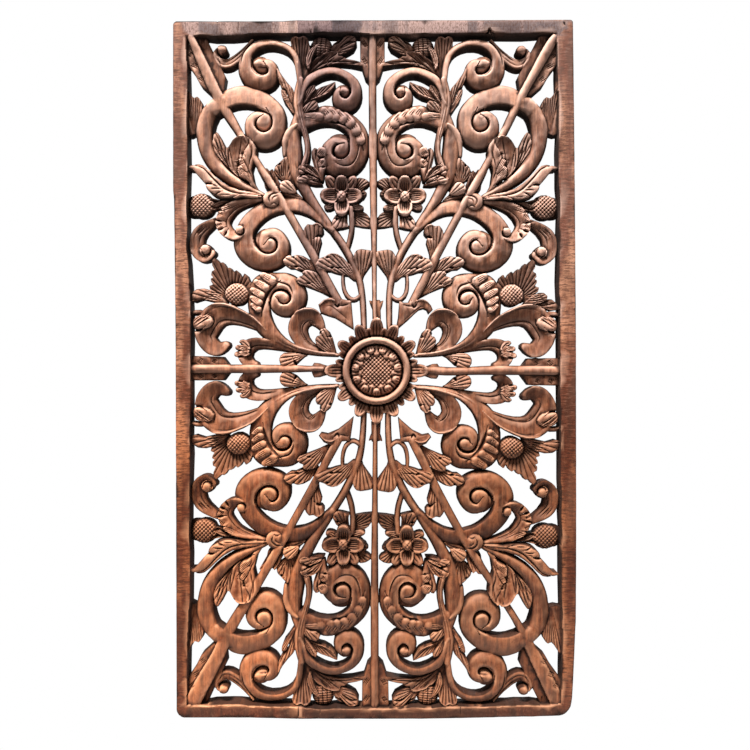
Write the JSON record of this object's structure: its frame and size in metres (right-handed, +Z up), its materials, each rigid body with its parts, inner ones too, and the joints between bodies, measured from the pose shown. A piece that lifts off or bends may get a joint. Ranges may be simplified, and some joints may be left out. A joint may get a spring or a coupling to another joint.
{
  "type": "carved wall panel",
  "caption": "Upright pierced wooden wall panel, carved in relief with scrolling acanthus, flowers and crossed arrows around a round medallion, inside a plain border.",
  "frame": {"origin": "middle of the flat back, behind the medallion, where the panel meets the wall", "axes": "+Z up along the panel's height, +X to the viewer's right when facing the carving, +Y into the wall, the carving faces -Y"},
  "size_m": [0.61, 0.03, 1.065],
  "materials": {
    "wood": "aged and waxed, satin, worn on the high edges and dark in the hollows"
  },
  "bodies": {
    "root": {"carved_panel": "wood"}
  },
  "joints": []
}
